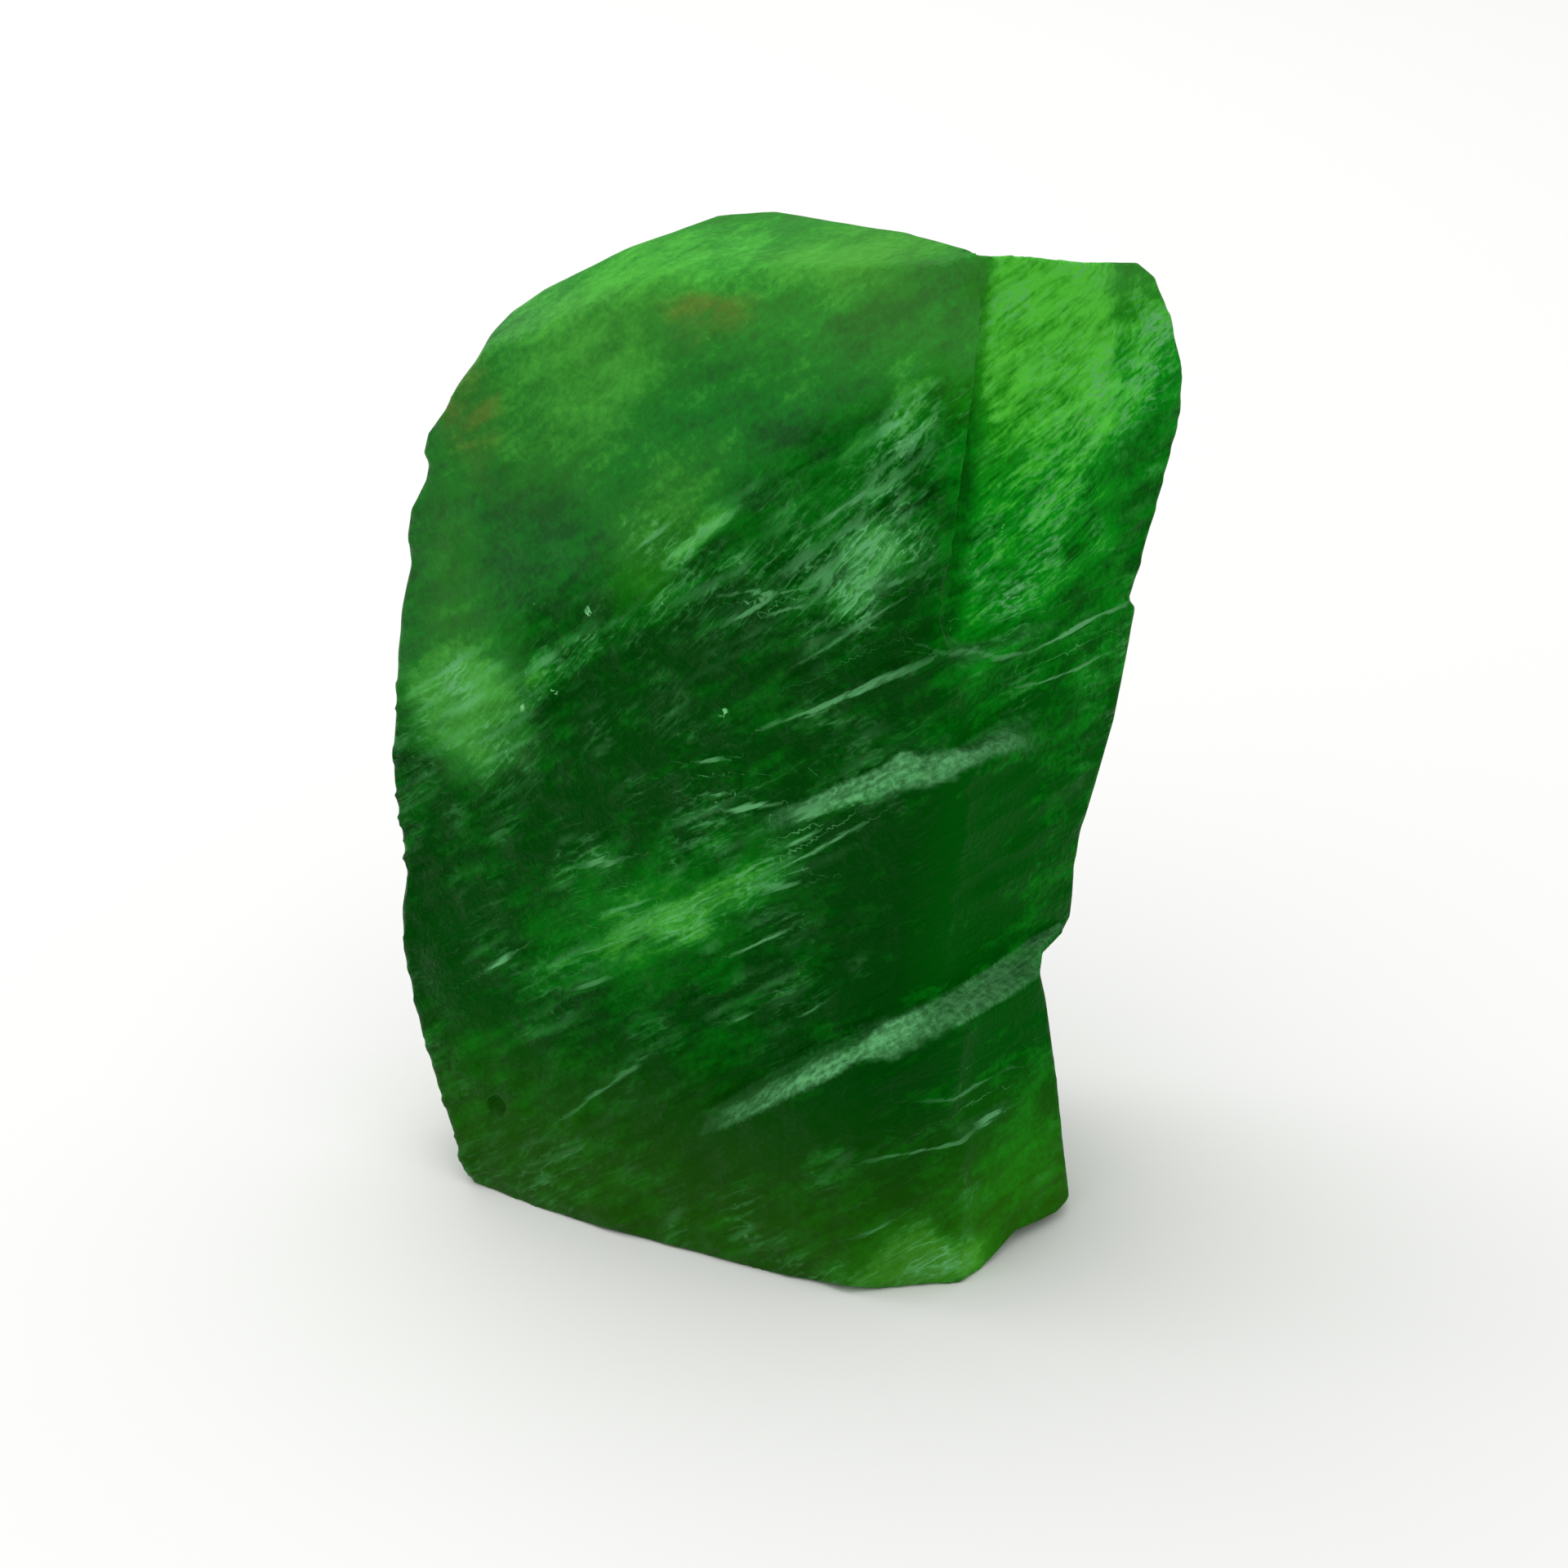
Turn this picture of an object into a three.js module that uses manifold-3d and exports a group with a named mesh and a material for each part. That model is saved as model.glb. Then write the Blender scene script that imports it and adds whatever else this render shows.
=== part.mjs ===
// Rough green fluorite: one broken, unpolished piece standing on its flat foot.
// Millimetres, +Z up, the broad front faces look towards -Y, the foot lies on Z = 0.
import * as THREE from 'three';
import { mergeVertices } from 'three/addons/utils/BufferGeometryUtils.js';
import Module from 'manifold-3d';

const wasm = await Module();
wasm.setup();

// ---------------------------------------------------------------- driving dimensions
const LEAN = THREE.MathUtils.degToRad(22); // how far the silhouette's plane leans back
const MID_HEIGHT = 21; // height of that plane's origin above the foot
const DRAFT = 1 / 205; // growth of the silhouette per mm of depth
const RIM_WALL = 0.9; // straight band behind the front faces before the back rounds off
const BACK_DEPTH = 22; // where the narrowing body ends, beyond the back's own faces
const BACK_NARROWING = 0.45; // share of the silhouette lost by then
const STATION = 1.7; // spacing of the facets along a ledge

// Every ledge on the stone follows this one cleavage direction.
const CLEAVAGE = new THREE.Vector3(-0.455, 0.33, 0.827).normalize();

// Silhouette in its leaning plane, clockwise from the top: [across, up].
const OUTLINE = [
  [-0.4, 26.9], [2.0, 26.5], [5.8, 25.9], [9.0, 25.0], [14.1, 24.5], [16.6, 24.5],
  [17.4, 23.8], [18.1, 22.0], [18.7, 19.6], [18.6, 17.5], [17.9, 14.8], [17.4, 13.0],
  [16.6, 10.2], [16.1, 8.7], [16.35, 8.3], [16.1, 7.2], [15.3, 3.1], [14.5, 0.3],
  [13.8, -2.0], [13.5, -3.9], [13.4, -6.2], [13.0, -6.9], [12.0, -7.9], [11.85, -8.9],
  [12.1, -10.1], [12.6, -13.9], [12.9, -17.0], [13.2, -19.4], [12.7, -20.0],
  [10.8, -20.9], [10.0, -22.0], [9.2, -22.9], [7.7, -23.8], [5.4, -23.9], [2.7, -23.6],
  [-1.3, -22.9], [-2.1, -22.6], [-6.2, -21.5], [-9.2, -20.7], [-12.5, -19.7],
  [-13.2, -19.3], [-14.6, -18.8], [-15.1, -17.5], [-16.1, -14.5], [-17.1, -11.2],
  [-17.8, -7.9], [-17.9, -5.8], [-17.65, -4.2], [-18.1, -0.8], [-18.35, 1.2],
  [-18.2, 3.5], [-18.1, 6.2], [-17.9, 8.4], [-17.5, 10.4], [-17.65, 11.8],
  [-17.5, 12.9], [-16.8, 14.3], [-16.65, 15.1], [-16.9, 15.6], [-16.7, 16.5],
  [-15.9, 17.6], [-15.3, 18.8], [-14.4, 20.0], [-13.8, 21.1], [-12.8, 22.2],
  [-11.2, 23.3], [-9.5, 24.1],
  [-7.3, 25.2], [-5.0, 26.0], [-3.1, 26.7],
];

// ---------------------------------------------------------------- small helpers
/** Smooth, repeatable unevenness between about -1 and 1. */
function uneven(a, seed) {
  return 0.55 * Math.sin(0.83 * a + 2.4 * seed)
    + 0.3 * Math.sin(1.97 * a + 5.1 * seed + 1.0)
    + 0.15 * Math.sin(4.3 * a + 3.7 * seed + 2.0);
}

/** Repeatable scatter between -1 and 1 for a pair of whole numbers. */
function scatter(i, j, seed) {
  const s = Math.sin(i * 127.1 + j * 311.7 + seed * 74.7) * 43758.5453;
  return 2 * (s - Math.floor(s)) - 1;
}

/** 0 outside the span, 1 inside it, easing over `fade` mm at both ends. */
function within(a, from, to, fade) {
  return THREE.MathUtils.smoothstep(a, from - fade, from)
    * (1 - THREE.MathUtils.smoothstep(a, to, to + fade));
}

/** Turns triangles over shared points into a solid the joins and cuts work on. */
function toSolid(points, triangles) {
  const vertProperties = new Float32Array(points.flatMap((p) => [p.x, p.y, p.z]));
  const triVerts = new Uint32Array(triangles.flat());
  return new wasm.Manifold(new wasm.Mesh({ numProp: 3, vertProperties, triVerts }));
}

/** Skins a row of rings, all with the same count of points, and closes both ends. */
function loft(rings) {
  const points = rings.flat();
  const count = rings[0].length;
  const triangles = [];
  for (let r = 0; r + 1 < rings.length; r += 1) {
    for (let i = 0; i < count; i += 1) {
      const a = r * count + i;
      const b = r * count + ((i + 1) % count);
      triangles.push([a, b, b + count], [a, b + count, a + count]);
    }
  }
  for (const [ring, flip] of [[0, true], [rings.length - 1, false]]) {
    const centre = new THREE.Vector3();
    rings[ring].forEach((p) => centre.addScaledVector(p, 1 / count));
    points.push(centre);
    for (let i = 0; i < count; i += 1) {
      const a = ring * count + i;
      const b = ring * count + ((i + 1) % count);
      triangles.push(flip ? [points.length - 1, b, a] : [points.length - 1, a, b]);
    }
  }
  return toSolid(points, triangles);
}

// ---------------------------------------------------------------- broken faces
/**
 * A block with one broken face. The face runs through `through`, square to `normal`,
 * and is crossed by ledges that follow the cleavage. `fine` sets the many small
 * ledges, `breaks` the few large ones: each has its level along the cleavage, the
 * span along the ledge where it shows, a lip below it and a hollow above it.
 */
function brokenBlock({ normal, through, levels, fine, breaks = [], vigour, swell, seed }) {
  const out = new THREE.Vector3(...normal).normalize();
  const along = CLEAVAGE.clone().cross(out).normalize();
  const across = out.clone().cross(along);
  const origin = new THREE.Vector3(...through);
  const climb = CLEAVAGE.dot(across);
  const rows = [];
  let next = levels[0];
  while (next < levels[1]) {
    const k = rows.length;
    const step = fine.step * (0.7 + 0.5 * scatter(k, 2, seed));
    rows.push({ level: next, tooth: step / 2, k });
    rows.push({ level: next + fine.run, tooth: -step / 2, k });
    next += fine.pitch * (1 + 0.45 * scatter(k, 1, seed));
  }
  for (const { level, run } of breaks) {
    const clear = (row) => row.level > level - 0.45 && row.level < level + run + 0.45;
    rows.filter(clear).forEach((row) => rows.splice(rows.indexOf(row), 1));
    rows.push({ level, tooth: 0, k: level }, { level: level + run, tooth: 0, k: level });
  }
  rows.sort((a, b) => a.level - b.level);
  rows.unshift({ level: levels[0] - 40, tooth: 0, k: 0 });
  rows.push({ level: levels[1] + 40, tooth: 0, k: 0 });

  const reach = 26 * STATION;
  const points = [];
  let columns = 0;
  for (let s = -reach; s <= reach + 1e-6; s += STATION) {
    let last = -Infinity;
    for (const row of rows) {
      const wander = 0.22 * uneven(0.45 * s, seed + row.k);
      const level = Math.max(row.level + wander, last + 0.08);
      last = level;
      let lift = row.tooth * (0.6 + 0.7 * uneven(0.6 * s, row.k + seed));
      if (vigour) lift *= vigour(s, level);
      lift += 0.12 * uneven(0.7 * s, row.k * 0.37 + seed);
      for (const b of breaks) {
        const shows = within(s, b.from, b.to, b.fade);
        const low = THREE.MathUtils.clamp(1 - (b.level - row.level) / b.below, 0, 1);
        const high = THREE.MathUtils.clamp(1 - (row.level - b.level - b.run) / b.above, 0, 1);
        lift += shows * (row.level <= b.level ? b.lip * low : -b.hollow * high);
      }
      const t = (level - CLEAVAGE.dot(origin)) / climb;
      const p = origin.clone().addScaledVector(along, s).addScaledVector(across, t);
      if (swell) lift += swell(s, level);
      points.push(p.addScaledVector(out, lift));
    }
    columns += 1;
  }
  const deep = rows.length;
  const triangles = [];
  for (let i = 0; i + 1 < columns; i += 1) {
    for (let j = 0; j + 1 < deep; j += 1) {
      const a = i * deep + j;
      triangles.push([a, a + deep, a + deep + 1], [a, a + deep + 1, a + 1]);
    }
  }
  // the block's unseen sides run back to one far point
  const edge = [];
  for (let i = 0; i < columns; i += 1) edge.push(i * deep);
  for (let j = 1; j < deep; j += 1) edge.push((columns - 1) * deep + j);
  for (let i = columns - 2; i >= 0; i -= 1) edge.push(i * deep + deep - 1);
  for (let j = deep - 2; j > 0; j -= 1) edge.push(j);
  points.push(origin.clone().addScaledVector(out, -400));
  edge.forEach((a, i) => {
    triangles.push([edge[(i + 1) % edge.length], a, points.length - 1]);
  });
  return toSolid(points, triangles);
}

const MAIN_FACE = { normal: [-0.475, -0.878, 0.06], through: [4.8, -11.0, 0] };
const RIGHT_FACE = { normal: [0.8, -0.595, 0.02], through: [7.6, -10.6, 0] };
const CORNER_STRIP = { normal: [0.54, -0.84, 0.05], through: [6.75, -9.12, 44] };
const LOW_CORNER = { normal: [0.2, -0.97, 0.045], through: [6.4, -10.65, 0] };
const TOP_BEVEL = { normal: [-0.314, -0.204, 0.928], through: [1.4, -5.9, 47.6] };
const PANEL_FLOOR = { normal: [0.7, -0.714, 0.03], through: [6.95, -8.0, 42] };
const LEFT_TOP_BEVEL = { normal: [-0.572, -0.234, 0.786], through: [-13.4, 1.7, 41.6] };
const RIGHT_TOP_BEVEL = { normal: [-0.18, -0.03, 0.983], through: [1.4, -5.9, 47.6] };
const FRONT = [
  MAIN_FACE, RIGHT_FACE, CORNER_STRIP, LOW_CORNER,
  TOP_BEVEL, LEFT_TOP_BEVEL, RIGHT_TOP_BEVEL,
];

const LOW_BAND = {
  level: 4.2, run: 1.1, lip: 0.3, hollow: 1.3, below: 4, above: 7, fade: 6,
};
const MID_BAND = {
  level: 15.1, run: 0.9, lip: 0.35, hollow: 0.8, below: 2, above: 3.2, fade: 5,
};
const GLOW_RIDGE = {
  level: 13.3, run: 0.5, lip: 0.2, hollow: 0.25, below: 2, above: 1.2, fade: 3,
};
const THIN_LINE = {
  level: 19.4, run: 0.35, lip: 0.15, hollow: 0.35, below: 2, above: 2.5, fade: 4,
};
const OVERHANG = {
  level: 26.5, run: 0.8, lip: -0.4, hollow: -0.3, below: 6, above: 6, fade: 6,
};
const FOOT_LINE = {
  level: -0.8, run: 0.4, lip: 0.2, hollow: 0.25, below: 2, above: 2.5, fade: 4,
};

const mainBlock = brokenBlock({
  ...MAIN_FACE,
  levels: [-9, 44],
  fine: { pitch: 1.7, step: 0.34, run: 0.45 },
  breaks: [
    { ...LOW_BAND, level: 4.5, from: 0, to: 60 },
    { ...GLOW_RIDGE, from: -7, to: 9 },
    { ...MID_BAND, level: 15.4, from: 10, to: 60 },
    { ...THIN_LINE, from: 11, to: 60 },
    { ...OVERHANG, from: -60, to: 7 },
  ],
  // ridged in the upper middle, almost smooth near the top and low on the left
  vigour: (s, level) => 0.35 + 1.3 * within(level, 24.5, 30, 2) * within(s, 6, 60, 6)
    + 0.45 * within(level, 8, 24, 3) * within(s, -6, 60, 5),
  // the foot of this face bulges forward
  swell: (s, level) => 1.15 * within(level, -60, 2, 7) * within(s, -14, 2, 6),
  seed: 3,
});
const rightBlock = brokenBlock({
  ...RIGHT_FACE,
  levels: [-9, 40],
  fine: { pitch: 1.9, step: 0.3, run: 0.4 },
  breaks: [
    { ...FOOT_LINE, from: -4, to: 3 },
    { ...LOW_BAND, run: 0.6, from: -60, to: 60 },
    { ...MID_BAND, run: 0.5, level: 14.6, from: -60, to: 4 },
    { ...THIN_LINE, level: 18.2, from: -60, to: 7 },
  ],
  swell: (s, level) => 0.35 * within(level, -60, -5, 6),
  seed: 8,
});
const cornerStrip = brokenBlock({
  ...CORNER_STRIP,
  levels: [10, 44],
  fine: { pitch: 6, step: 0.08, run: 0.6 },
  seed: 17,
});
const lowCorner = brokenBlock({
  ...LOW_CORNER,
  levels: [-9, 44],
  fine: { pitch: 2.6, step: 0.2, run: 0.4 },
  breaks: [
    { ...LOW_BAND, run: 0.9, from: -60, to: 60 },
    { ...MID_BAND, run: 0.7, from: -60, to: 60 },
  ],
  // it runs out above the foot of the recessed panel
  swell: (s, level) => 3.2 * THREE.MathUtils.smoothstep(level, 16.5, 20.5),
  seed: 5,
});
const panelFloor = brokenBlock({
  ...PANEL_FLOOR,
  levels: [14, 42],
  fine: { pitch: 1.6, step: 0.34, run: 0.5 },
  seed: 23,
});
const bevels = [TOP_BEVEL, LEFT_TOP_BEVEL, RIGHT_TOP_BEVEL].map((face, i) => brokenBlock({
  ...face,
  levels: [15, 50],
  fine: { pitch: 4, step: 0.12, run: 0.6 },
  seed: 11 + i,
}));

// ---------------------------------------------------------------- the silhouette
const acrossAxis = new THREE.Vector3(1, 0, 0);
const upAxis = new THREE.Vector3(0, Math.sin(LEAN), Math.cos(LEAN));
const depthAxis = new THREE.Vector3(0, Math.cos(LEAN), -Math.sin(LEAN));

/** A point of the leaning plane moved `depth` mm back, with its slight growth. */
function leaning(x, up, depth) {
  const grow = 1 + depth * DRAFT;
  return new THREE.Vector3(0, 0, MID_HEIGHT)
    .addScaledVector(acrossAxis, x * grow)
    .addScaledVector(upAxis, up * grow)
    .addScaledVector(depthAxis, depth);
}

/** Depth at which the line through an outline point meets the front faces. */
function rimDepth([x, up]) {
  return Math.max(...FRONT.map(({ normal, through }) => {
    const n = new THREE.Vector3(...normal);
    const near = n.dot(new THREE.Vector3(...through).sub(leaning(x, up, 0)));
    return near / n.dot(leaning(x, up, 1).sub(leaning(x, up, 0)));
  }));
}

function roundedBody() {
  const rims = OUTLINE.map(rimDepth);
  const rings = [OUTLINE.map(([x, up]) => leaning(x, up, -30))];
  const stages = [0, 0.14, 0.3, 0.48, 0.7, 1];
  for (const [j, q] of stages.entries()) {
    const size = 1 - BACK_NARROWING * q ** 1.5;
    rings.push(OUTLINE.map(([x, up], i) => {
      const rough = j === 0 ? 0 : 0.25 * scatter(i, j, 21);
      const start = rims[i] + RIM_WALL;
      const depth = start + q * (BACK_DEPTH - start) + rough;
      return leaning(x * size, up * size - 4 * (1 - size), depth);
    }));
  }
  return loft(rings);
}

const backs = [
  { normal: [0.1, 0.985, 0.1], through: [0, 11.6, 22] },
  { normal: [-0.76, 0.62, 0.17], through: [-16.4, 8.2, 24] },
  { normal: [0.8, 0.56, -0.2], through: [18.4, 7.6, 38] },
  { normal: [0.06, 0.6, 0.8], through: [1, 6.5, 46] },
  { normal: [-0.1, 0.9, -0.42], through: [0, 9.8, 4] },
].map((face, i) => brokenBlock({
  ...face,
  levels: [-14, 48],
  fine: { pitch: 3.1, step: 0.4, run: 0.6 },
  seed: 31 + i,
}));

// ---------------------------------------------------------------- recessed panel
// Window of the panel on the right face: [along the face, height].
const PANEL_WINDOW = [
  [3.6, 52], [3.4, 45.6], [2.7, 42.1], [2, 38.6], [1.4, 35], [1, 32.4],
  [1.4, 31], [3.2, 30.4], [6, 30.3], [9.3, 30.8], [11.4, 31.6], [12.6, 35.6],
  [12.4, 40.4], [14.3, 43.3], [16.5, 45.6], [17.5, 52],
];

function panelWindow() {
  const out = new THREE.Vector3(...RIGHT_FACE.normal).normalize();
  const along = new THREE.Vector3(0.597, 0.802, 0);
  const middle = [7, 40];
  return loft([[-5, 0.85], [5, 1.15]].map(([depth, size]) => PANEL_WINDOW.map(([a, z]) => {
    const wide = middle[0] + (a - middle[0]) * size;
    const high = middle[1] + (z - middle[1]) * size;
    const lean = -out.z * high / out.x;
    return new THREE.Vector3(...RIGHT_FACE.through)
      .addScaledVector(along, wide)
      .add(new THREE.Vector3(lean, 0, high))
      .addScaledVector(out, depth);
  })));
}

// ---------------------------------------------------------------- assembly
const floorBox = new THREE.BoxGeometry(120, 120, 120).translate(0, 0, 60);

function solidFromGeometry(geometry) {
  const bare = geometry.clone();
  bare.deleteAttribute('normal');
  bare.deleteAttribute('uv');
  const merged = mergeVertices(bare);
  return new wasm.Manifold(new wasm.Mesh({
    numProp: 3,
    vertProperties: new Float32Array(merged.attributes.position.array),
    triVerts: new Uint32Array(merged.index.array),
  }));
}

const stone = [mainBlock, rightBlock, cornerStrip, lowCorner, ...bevels, ...backs]
  .reduce((body, block) => body.intersect(block), roundedBody())
  .subtract(panelWindow().subtract(panelFloor))
  .intersect(solidFromGeometry(floorBox));

const { vertProperties, triVerts } = stone.getMesh();
const geometry = new THREE.BufferGeometry();
geometry.setAttribute('position', new THREE.BufferAttribute(vertProperties, 3));
geometry.setIndex(new THREE.BufferAttribute(triVerts, 1));
// the origin is the middle of the stone's box, at the level of its foot
geometry.computeBoundingBox();
const middle = geometry.boundingBox.getCenter(new THREE.Vector3());
geometry.translate(-middle.x, -middle.y, 0);
geometry.computeVertexNormals();

const fluorite = new THREE.Mesh(geometry, new THREE.MeshStandardMaterial({
  color: 0x1c6b28, roughness: 0.35, metalness: 0,
}));
fluorite.name = 'fluorite';

const part = new THREE.Group();
part.name = 'rough_fluorite';
part.add(fluorite);
export default part;
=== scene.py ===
import itertools
import math

import bpy
import numpy as np
from mathutils import Matrix, Vector


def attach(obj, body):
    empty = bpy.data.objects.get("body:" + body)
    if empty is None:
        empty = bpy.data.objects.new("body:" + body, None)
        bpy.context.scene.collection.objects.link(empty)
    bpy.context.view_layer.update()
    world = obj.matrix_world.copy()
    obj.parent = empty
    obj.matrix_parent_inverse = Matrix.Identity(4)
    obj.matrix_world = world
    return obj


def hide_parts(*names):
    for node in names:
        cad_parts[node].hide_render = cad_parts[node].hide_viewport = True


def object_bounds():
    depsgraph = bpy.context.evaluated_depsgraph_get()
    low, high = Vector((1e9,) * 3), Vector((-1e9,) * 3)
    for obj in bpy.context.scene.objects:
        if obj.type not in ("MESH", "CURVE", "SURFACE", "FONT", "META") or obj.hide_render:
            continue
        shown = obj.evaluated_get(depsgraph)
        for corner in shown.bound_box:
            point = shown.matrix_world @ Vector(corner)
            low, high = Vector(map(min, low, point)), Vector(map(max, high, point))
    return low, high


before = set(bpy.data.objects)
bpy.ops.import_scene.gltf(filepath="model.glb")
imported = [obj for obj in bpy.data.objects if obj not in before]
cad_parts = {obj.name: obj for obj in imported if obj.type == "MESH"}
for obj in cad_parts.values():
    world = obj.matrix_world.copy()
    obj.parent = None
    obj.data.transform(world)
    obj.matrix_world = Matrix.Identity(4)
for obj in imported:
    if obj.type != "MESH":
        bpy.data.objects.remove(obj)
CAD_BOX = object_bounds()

bl_info = {
    "name": "Rough green fluorite",
    "version": (1, 0, 0),
    "blender": (4, 5, 0),
    "location": "3D View > Sidebar > Fluorite",
    "description": "Gives the fluorite solid its cleaved, silky surface and a plain stage",
    "category": "Object",
}

MM = 0.001
NODE = "fluorite"
PIECE = "fluorite_stone"
# the origin that the tables below are drawn from, in the frame's own mm
DRAWING_SHIFT = Vector((0.043, -1.181, 0.0))
# every ledge of the stone follows this cleavage
CLEAVAGE = Vector((-0.455, 0.33, 0.827)).normalized()


def along_ledges(normal, turn=0.0):
    """Ledge direction, up and outward of a broken face, turned `turn` degrees steeper."""
    out = Vector(normal).normalized()
    along = CLEAVAGE.cross(out).normalized()
    up = out.cross(along)
    cos, sin = math.cos(math.radians(turn)), math.sin(math.radians(turn))
    return cos * along + sin * up, cos * up - sin * along, out


# outward directions of the broad front face, of the narrower right one and between them
MAIN = (-0.475, -0.878, 0.06)
RIGHT = (0.8, -0.595, 0.02)
BETWEEN = (0.16, -0.987, 0.0)
SHEETS = along_ledges(MAIN)
# how many degrees steeper the silk runs below the crown and on the panel
STEEP_TURN, PANEL_TURN = 15, 18

# oval zones of the two broken faces: face, degrees steeper than the ledges, centre and
# half widths along, up and out of the face in mm, then how much lighter and frostier
# the crown zones are painted lighter as light falling on the top, and the glow zones as light
# coming through the stone
ZONES = {
    "crown left": (MAIN, 8, (-9.6, 1.6, 44.3), (7.5, 3.6, 6.0), 0.3, 0.07),
    "crown middle": (MAIN, -20, (-2.5, -1.4, 47.0), (6.5, 2.6, 6.0), 0.33, -0.1),
    "crown right": (MAIN, -30, (3.2, -5.0, 48.0), (4.8, 2.6, 5.0), 0.52, 0.2),
    "upper left body": (MAIN, 14, (-9.2, -0.6, 40.3), (9.0, 4.8, 5.0), 0.38, 0.0),
    "pale mottle": (MAIN, 10, (-7.0, -1.7, 40.9), (3.4, 1.9, 3.0), 0.2, 0.25),
    "olive patch": (MAIN, 14, (-5.9, -3.1, 34.8), (5.2, 2.6, 4.0), 0.4, 0.3),
    "upper body": (MAIN, 0, (0.0, -4.0, 42.0), (9.0, 4.0, 5.0), 0.12, -0.2),
    "panel foot": (RIGHT, 14, (9.8, -6.3, 30.6), (4.8, 1.2, 3.0), 0.3, 0.5),
    "panel shade": (RIGHT, 60, (13.8, -1.0, 34.6), (3.4, 1.6, 3.0), -0.2, -0.3),
    "right strip": (RIGHT, 40, (16.3, 2.3, 41.0), (6.5, 3.6, 5.0), 0.42, 0.95),
    "left patch": (MAIN, 20, (-15.2, 1.2, 25.2), (5.2, 4.2, 5.0), 0.68, 0.65),
    "left edge": (MAIN, 60, (-16.3, 1.4, 29.5), (9.0, 3.4, 5.0), 0.25, 0.1),
    "glow": (MAIN, 0, (-6.2, -3.8, 15.7), (9.0, 3.4, 4.5), 0.48, 0.15),
    "glow heart": (MAIN, 2, (-3.6, -5.1, 17.3), (4.2, 1.2, 4.5), 0.23, 0.4),
    "glow left": (MAIN, 0, (-9.1, -2.4, 17.8), (4.0, 1.6, 3.0), 0.15, 0.1),
    "corner glow": (MAIN, -25, (7.0, -10.5, 1.2), (6.0, 2.4, 4.0), 1.1, 1.0),
    "low right": (RIGHT, 0, (11.2, -6.1, 3.8), (4.0, 4.0, 4.0), 0.12, 0.0),
    "low left": (MAIN, -30, (-12.6, -1.4, 3.6), (7.0, 4.5, 5.0), -0.06, 0.05),
    "dark middle": (MAIN, 5, (-4.8, -4.0, 25.0), (9.5, 4.6, 5.0), -0.03, -0.11),
    "dark ridge foot": (MAIN, 0, (4.8, -8.5, 31.1), (4.0, 3.2, 4.0), -0.14, -0.5),
    "dark right": (MAIN, 0, (8.2, -8.5, 19.6), (9.0, 6.5, 6.0), -0.14, -0.3),
    "dark left facet": (MAIN, 60, (-16.9, 1.6, 12.3), (4.6, 2.4, 4.0), -0.27, -0.4),
    "dark low": (MAIN, 0, (-2.2, -7.9, 6.5), (6.0, 3.2, 4.0), -0.2, -0.3),
    "dark upper": (MAIN, -20, (0.0, -5.7, 40.0), (3.6, 1.7, 3.0), -0.3, -0.2),
    "dark upper left": (MAIN, 0, (-11.6, 0.3, 35.6), (3.8, 2.2, 3.0), -0.3, -0.1),
    "ridges": (MAIN, 20, (3.5, -7.6, 36.5), (8.0, 4.4, 5.0), 0.13, 0.52),
    "ridge fan": (MAIN, 30, (5.9, -8.5, 39.2), (5.5, 3.2, 4.0), -0.04, 0.4),
    "fan patch": (MAIN, 32, (6.0, -8.8, 42.8), (2.6, 1.4, 3.0), 0.35, 0.7),
    "dark beside the crown": (MAIN, 0, (4.6, -7.6, 46.5), (4.6, 2.0, 3.0), -0.35, -0.2),
    "pale corner": (MAIN, 20, (-10.9, -0.6, 25.9), (2.6, 1.2, 3.0), 0.3, 0.3),
    "panel corner": (RIGHT, 0, (13.2, -1.2, 46.5), (2.6, 2.6, 3.0), 0.1, 0.3),
    "dark foot": (MAIN, 20, (-5.2, -5.0, 6.5), (3.4, 2.2, 3.0), -0.15, -0.3),
    "dark left middle": (MAIN, 10, (-10.1, -1.5, 20.5), (4.0, 2.0, 3.0), -0.1, -0.25),
    "clear middle": (MAIN, 20, (1.4, -6.6, 40.0), (2.8, 1.4, 3.0), 0.0, -0.4),
    "pale boundary": (MAIN, 8, (-8.6, -1.9, 29.2), (6.0, 0.9, 3.0), 0.2, 0.6),
    "ridge oval": (MAIN, 16, (3.7, -8.0, 34.7), (2.8, 1.5, 3.0), 0.5, 1.2),
    "pale streak": (MAIN, 14, (-3.3, -4.3, 35.6), (2.6, 0.8, 2.0), 0.5, 0.8),
    "pale streak left": (MAIN, 26, (-5.9, -3.1, 34.6), (2.0, 0.4, 2.0), 0.15, 0.8),
    "smooth right": (RIGHT, 60, (14.5, -0.5, 25.3), (7.5, 3.2, 4.0), 0.09, 0.4),
    "corner strip": (MAIN, 62, (7.9, -7.5, 39.5), (8.0, 1.35, 3.0), -0.25, -0.7),
    "crown edge": (MAIN, -13, (-5.0, -1.5, 44.8), (13.0, 3.5, 7.0), 0.0, 0.0),
    "rust": (MAIN, -20, (-3.2, -3.7, 44.5), (2.4, 1.2, 3.0), 0.0, 0.0),
    "rust edge": (MAIN, 60, (-14.3, 1.9, 38.4), (3.4, 2.0, 3.0), 0.15, 0.1),
}

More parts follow.
